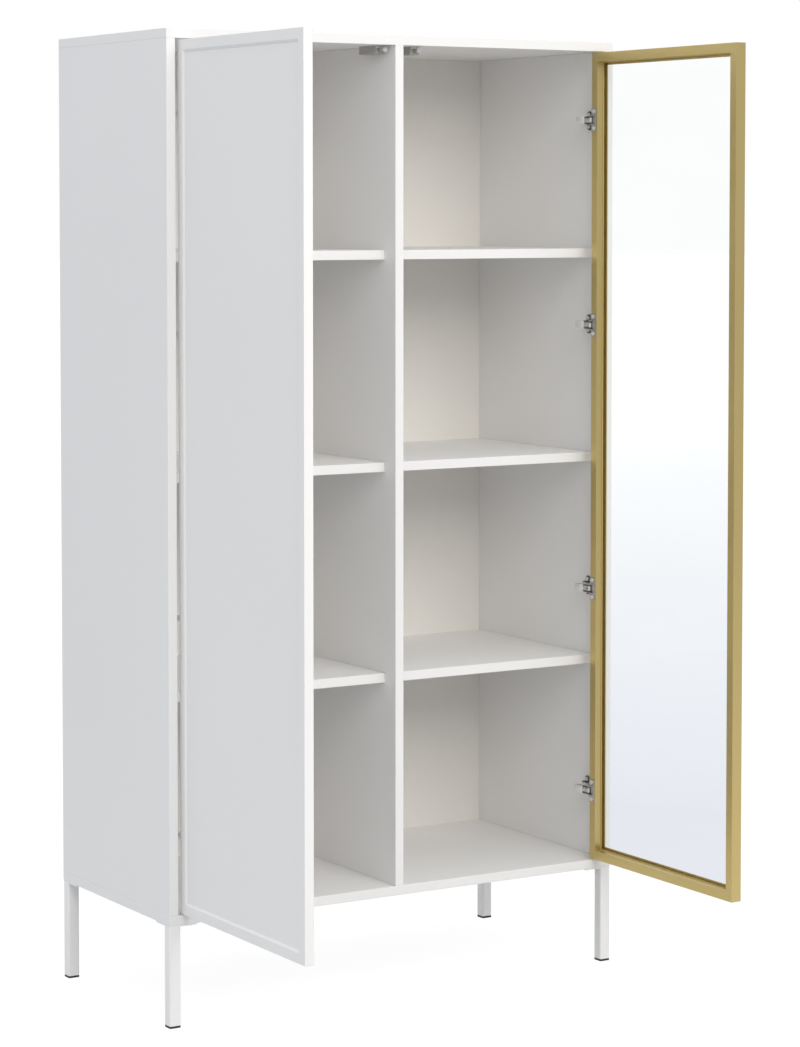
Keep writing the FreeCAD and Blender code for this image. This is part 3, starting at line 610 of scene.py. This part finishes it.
class OBJECT_OT_bookcase_panel_door(bpy.types.Operator):
    """Coat the left door, its frame and its panel"""

    bl_idname = "object.bookcase_panel_door"
    bl_label = "Panel door"

    def execute(self, context):
        finish = context.scene.bookcase_finish
        white = coated_board("white_door_foil", finish.board, finish.board_rough)
        coat(white, "left_door_panel", "left_door_hinge_stile", "left_door_free_stile", "left_door_top_rail",
             "left_door_bottom_rail")
        return {"FINISHED"}


class OBJECT_OT_bookcase_glass_door(bpy.types.Operator):
    """Finish the right door: brushed gold bars, clear glass and its seal"""

    bl_idname = "object.bookcase_glass_door"
    bl_label = "Glass door"

    def execute(self, context):
        finish = context.scene.bookcase_finish
        coat(brushed_metal("gold_upright", finish.gold, "Z", finish.gold_rough),
             "right_door_hinge_stile", "right_door_free_stile")
        coat(brushed_metal("gold_level", finish.gold, "Y", finish.gold_rough),
             "right_door_top_rail", "right_door_bottom_rail")
        coat(clear_glass("pane_glass", finish.glass, finish.glass_gloss), "glass_pane")
        coat(seal_rubber("pane_seal", finish.seal), "glass_gasket")
        coat(moulded_plastic("key_plastic", finish.latch, rough=0.5), "right_door_corner_keys")
        return {"FINISHED"}


class OBJECT_OT_bookcase_hinges(bpy.types.Operator):
    """Finish the hinges, and add their adjusting screws, closing springs, link covers and liners"""

    bl_idname = "object.bookcase_hinges"
    bl_label = "Hinges"

    def execute(self, context):
        finish = context.scene.bookcase_finish
        hardware = context.scene.bookcase_hardware
        nickel = plated_steel("nickel_plate", finish.nickel, rough=0.34, metal=0.5)
        cup = plated_steel("cup_nickel_plate", finish.cup_nickel, rough=0.30)
        dark = plated_steel("dark_nickel_plate", finish.dark_nickel, rough=0.30)
        zinc = plated_steel("zinc_plate", finish.zinc, rough=0.24, metal=0.45)
        coat(nickel, *names_with("hinge_arms"))
        coat(cup, *names_with("hinge_cups"))
        coat(dark, *names_with("hinge_plates", "hinge_links"))
        coat(zinc, *names_with("hinge_pins", "hinge_cup_screws", "hinge_plate_screws"))
        for side, sign in SIDES.items():
            levels = self.levels(side)
            new_piece(f"{side}_hinge_adjusters",
                      lambda shape: self.adjusters(shape, side, sign, levels, hardware),
                      zinc, "cabinet")
            new_piece(f"{side}_hinge_springs",
                      lambda shape: self.springs(shape, side, levels, hardware),
                      zinc, f"{side}_door")
            new_piece(f"{side}_hinge_link_covers",
                      lambda shape: self.covers(shape, side, sign, levels, hardware),
                      nickel, f"{side}_links")
            new_piece(f"{side}_hinge_liners",
                      lambda shape: self.liners(shape, side, sign, levels, hardware),
                      cup, f"{side}_door")
        return {"FINISHED"}

    @staticmethod
    def levels(side):
        """The middle height of each hinge, from the arms' corners."""
        arms = frame["nodes"][f"{side}_hinge_arms"].data
        heights = sorted({round(vertex.co.z, 5) for vertex in arms.vertices})
        return [(low + high) / 2 for low, high in zip(heights[::2], heights[1::2])]

    @staticmethod
    def pin(side, joint):
        """Where a joint's axis stands, seen from above."""
        found = [item for item in frame["joints"] if item["name"] == f"{side}_{joint}_swing"][0]
        return Vector((*found["pos_m"][:2], 0))

    @staticmethod
    def adjusters(shape, side, sign, levels, hardware):
        """Two cross-head screws on the inner faces of each arm."""
        # How far each is from the side panel, how far behind the cabinet's front, and the way it faces
        screws = ((20.2 * MM, 40.4 * MM, (0.319, 0.948)), (9.0 * MM, 48.2 * MM, (0.922, 0.388)))
        low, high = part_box(f"{side}_side_panel")
        wall = low.x if sign > 0 else high.x
        for level in levels:
            for out, back, (inwards, backwards) in screws:
                screw_head(shape, Vector((wall - out * sign, back, level)),
                           Vector((-inwards * sign, backwards, 0)).normalized(),
                           hardware.adjuster_radius, hardware.adjuster_height)

    def springs(self, shape, side, levels, hardware):
        """A coil round each door pin, between the two links."""
        half, turns = 3.3 * MM, 7
        centre = self.pin(side, "door")
        for level in levels:
            coil(shape, centre + UP * level, UP, hardware.spring_radius, hardware.spring_wire, half, turns)

    def covers(self, shape, side, sign, levels, hardware):
        """A bent plate that joins each pair of links over their open side."""
        first, last = 0.02, 0.64  # where the plate starts and stops, as shares of the way between the pins
        edge, half = 1.9 * MM, 6.1 * MM  # from the pins' line to the plate's edges, and half its height
        corner, end_corner, end_drop = 0.8 * MM, 0.6 * MM, 0.5 * MM  # its bends, and its sloped ends
        thick = hardware.cover_thick
        face = hardware.cover_gap + thick
        start, end = self.pin(side, "link"), self.pin(side, "door")
        along = (end - start).normalized()
        out = Vector((-along.y, along.x, 0))
        if out.x * sign > 0:
            out = -out
        near, far = (start + (end - start) * share for share in (first, last))

        def section(top):
            """Distances from the pins' line and heights round the plate, with its face at top."""
            return [(edge, -half), (face - corner, -half), (top, corner - half), (top, half - corner),
                    (face - corner, half), (edge, half), (edge, half - thick), (face - thick, half - thick),
                    (face - thick, thick - half), (edge, thick - half)]

        for level in levels:
            rings = []
            for spot, top in ((near, face - end_drop), (near + along * end_corner, face),
                              (far - along * end_corner, face), (far, face - end_drop)):
                rings.append(ring(shape, [spot + out * reach + UP * (level + height)
                                          for reach, height in section(top)]))
            skin(shape, rings)

    @staticmethod
    def liners(shape, side, sign, levels, hardware):
        """A thin plate on the stile in the slot of each cup's foot, under the links."""
        end_gap, long, half = 0.7 * MM, 4.4 * MM, 6.2 * MM
        low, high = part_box(f"{side}_door_hinge_stile")
        face = low.x if sign > 0 else high.x
        end = high.y - end_gap
        for level in levels:
            box(shape, (face - hardware.liner_thick * sign, end - long, level - half),
                (face, end, level + half))


class OBJECT_OT_bookcase_latches(bpy.types.Operator):
    """Finish the push latches under the top panel, and add their clips and plunger springs"""

    bl_idname = "object.bookcase_latches"
    bl_label = "Push latches"

    def execute(self, context):
        finish = context.scene.bookcase_finish
        hardware = context.scene.bookcase_hardware
        coat(moulded_plastic("latch_plastic", finish.latch, rough=0.42), *names_with("latch_body"))
        coat(moulded_plastic("plunger_plastic", finish.plunger, rough=0.36), *names_with("latch_plunger"))
        crown = moulded_plastic("clip_plastic", finish.clip, rough=0.4)
        steel = plated_steel("spring_zinc", finish.zinc, rough=0.28)
        for side in SIDES:
            new_piece(f"{side}_latch_clip", lambda shape: self.clip(shape, side),
                      crown, "cabinet")
            self.spring(side, steel, hardware)
        return {"FINISHED"}

    @staticmethod
    def spring(side, steel, hardware):
        """A coil in the body's bore."""
        low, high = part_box(f"{side}_latch_spring")
        middle, long = (low + high) / 2, high.y - low.y
        wire = hardware.latch_wire
        radius = (high.x - low.x) / 2 - wire
        half = long / 2 - wire
        turns = 2 * half / hardware.latch_pitch
        spring = new_piece(f"{side}_latch_coil",
                           lambda shape: coil(shape, middle, BACK, radius, wire, half, turns),
                           steel, "cabinet")
        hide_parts(f"{side}_latch_spring")
        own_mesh(spring)

    @staticmethod
    def clip(shape, side):
        """A toothed crown on the top of the body's front end."""
        half, tall, thick = 6.4 * MM, 3.4 * MM, 1.4 * MM
        shoulder, notch, clearance = 0.6 * MM, 1.7 * MM, 0.3 * MM  # the clearance is under the top panel
        low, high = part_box(f"{side}_latch_body")
        middle, front, top = (low.x + high.x) / 2, low.y, high.z - clearance
        crown = [(-half, top - tall), (half, top - tall), (half, top - shoulder)]
        for share, dip in ((0.78, 0), (0.5, notch), (0.22, 0), (-0.22, 0), (-0.5, notch), (-0.78, 0)):
            crown.append((half * share, top - dip))
        crown.append((-half, top - shoulder))
        skin(shape, [ring(shape, [(middle + x, y, z) for x, z in crown]) for y in (front - thick, front)])


class OBJECT_OT_bookcase_fasteners(bpy.types.Operator):
    """Finish the dowels, screws, pins and nails"""

    bl_idname = "object.bookcase_fasteners"
    bl_label = "Fasteners"

    def execute(self, context):
        finish = context.scene.bookcase_finish
        coat(bare_beech("beech_dowel", finish.beech), *names_with("dowels"))
        coat(plated_steel("fastener_zinc", finish.zinc, rough=0.28), "carcass_screws", "shelf_pins",
             "back_panel_nails", "leg_screws", "latch_screws")
        return {"FINISHED"}


class OBJECT_OT_bookcase_studio(bpy.types.Operator):
    """Set the floor, the lights, the background and the camera"""

    bl_idname = "object.bookcase_studio"
    bl_label = "Studio"

    def execute(self, context):
        studio = context.scene.bookcase_studio
        self.floor(studio)
        self.world(context.scene, studio)
        self.key_light(studio)
        self.camera(context.scene, studio)
        context.scene.view_settings.view_transform = "Standard"
        return {"FINISHED"}

    @staticmethod
    def floor(studio):
        """A wide floor that keeps the soft shadow and otherwise shows as white as the background; through the
        pane it carries a painted reflection tint near the bookcase, and gloss sees it as a painted white
        glow.
        """
        half_width = 60.0
        near, far = 1.6, 12.0  # where the painted reflection tint seen through the pane starts to fade to white, and where it is gone
        whitening = 0.65  # below one, that painted tint fades early on the way
        painted_glow_end, painted_glow_level = 4.5, 0.68  # painted reflection: where glossy rays stop seeing the floor glow white, and that glow's share near by
        shape = bmesh.new()
        bmesh.ops.create_grid(shape, x_segments=1, y_segments=1, size=half_width)
        data = bpy.data.meshes.new("studio_floor")
        shape.to_mesh(data)
        shape.free()
        plane = bpy.data.objects.new("studio_floor", data)
        bpy.context.collection.objects.link(plane)
        shader = new_shader("studio_floor")
        distance = shader.node("ShaderNodeVectorMath", {"operation": "LENGTH"}, {0: shader.place()},
                               output="Value")
        white = distance.clamped(near, far) ** whitening
        # Painted reflection: through the pane the near floor shows a grey-blue tint, greyest near the
        # bookcase, that darkens the glass's foot.
        behind = shader.blend(white, opaque(studio.painted_reflection_behind_glass), WHITE)
        through = shader.node("ShaderNodeLightPath", output="Transparent Depth") > 0.5
        seen = shader.node("ShaderNodeEmission", inputs={"Color": shader.blend(through, WHITE, behind),
                                                         "Strength": studio.floor_shine})
        lit = shader.node("ShaderNodeBsdfDiffuse", inputs={"Color": opaque(studio.floor)})
        glossy = shader.node("ShaderNodeLightPath", output="Is Glossy Ray")
        # Painted reflection: glossy rays see the near floor glowing white, also where it lies in the
        # bookcase's shadow.
        painted_floor_glow = glossy * (1 - distance.clamped(near, painted_glow_end)) * painted_glow_level
        shown = (shader.node("ShaderNodeLightPath", output="Is Camera Ray") + painted_floor_glow) * (1 - studio.shadow)
        plane.data.materials.append(shader.output(shader.mixed(shown, lit, seen)))

    @staticmethod
    def world(scene, studio):
        """Soft light from all round, brighter overhead, in front of a plain white background."""
        scene.world = bpy.data.worlds.new("studio_air")
        shader = Shader(scene.world)
        way = shader.node("ShaderNodeTexCoord", output="Generated")
        front = (shader.axis(way, "Y") * -1).clamped(0.0, 1.0)
        above = shader.axis(way, "Z").clamped(0.0, 1.0)
        level = (1 - front * studio.front_dip) * studio.horizon + above * studio.overhead
        camera = shader.node("ShaderNodeLightPath", output="Is Camera Ray")
        shader.output(shader.node("ShaderNodeBackground", inputs={
            "Color": shader.blend(camera, opaque(studio.air), WHITE),
            "Strength": level + camera * (1 - level),
        }))

    @staticmethod
    def key_light(studio):
        """One large soft light above and in front of the bookcase."""
        data = bpy.data.lights.new("front_softbox", "AREA")
        data.shape = "RECTANGLE"
        data.size, data.size_y = studio.key_size
        data.energy = studio.key
        data.color = studio.key_colour
        light = bpy.data.objects.new("front_softbox", data)
        light.visible_glossy = False
        bpy.context.collection.objects.link(light)
        light.location = studio.key_place
        aim = Vector(studio.key_aim) - light.location
        light.rotation_euler = aim.to_track_quat("-Z", "Y").to_euler()

    @staticmethod
    def camera(scene, studio):
        data = bpy.data.cameras.new("camera")
        data.lens = studio.lens
        data.sensor_width = 36.0
        data.shift_y = studio.shift
        camera = bpy.data.objects.new("camera", data)
        bpy.context.collection.objects.link(camera)
        camera.location = studio.eye
        camera.rotation_euler = (math.pi / 2 + studio.tilt, 0, studio.turn)
        scene.camera = camera


OPERATORS = (
    OBJECT_OT_bookcase_boards,
    OBJECT_OT_bookcase_legs,
    OBJECT_OT_bookcase_panel_door,
    OBJECT_OT_bookcase_glass_door,
    OBJECT_OT_bookcase_hinges,
    OBJECT_OT_bookcase_latches,
    OBJECT_OT_bookcase_fasteners,
    OBJECT_OT_bookcase_studio,
)


class VIEW3D_PT_bookcase(bpy.types.Panel):
    """Lists the bookcase's groups of pieces"""

    bl_idname = "VIEW3D_PT_bookcase"
    bl_label = "Bookcase"
    bl_space_type = "VIEW_3D"
    bl_region_type = "UI"
    bl_category = "Bookcase"

    def draw(self, context):
        for operator in OPERATORS:
            self.layout.operator(operator.bl_idname)
        for group in (context.scene.bookcase_finish, context.scene.bookcase_hardware,
                      context.scene.bookcase_studio):
            column = self.layout.column()
            for name in group.__annotations__:
                column.prop(group, name)


GROUPS = {
    "bookcase_finish": BookcaseFinish,
    "bookcase_hardware": BookcaseHardware,
    "bookcase_studio": BookcaseStudio,
}
CLASSES = (*GROUPS.values(), *OPERATORS, VIEW3D_PT_bookcase)


def register():
    for item in CLASSES:
        bpy.utils.register_class(item)
    for name, group in GROUPS.items():
        setattr(bpy.types.Scene, name, bpy.props.PointerProperty(type=group))


def unregister():
    for name in GROUPS:
        delattr(bpy.types.Scene, name)
    for item in reversed(CLASSES):
        bpy.utils.unregister_class(item)


def main():
    register()
    bpy.ops.object.bookcase_boards()
    bpy.ops.object.bookcase_legs()
    bpy.ops.object.bookcase_panel_door()
    bpy.ops.object.bookcase_glass_door()
    bpy.ops.object.bookcase_hinges()
    bpy.ops.object.bookcase_latches()
    bpy.ops.object.bookcase_fasteners()
    bpy.ops.object.bookcase_studio()


if __name__ == "__main__":
    main()
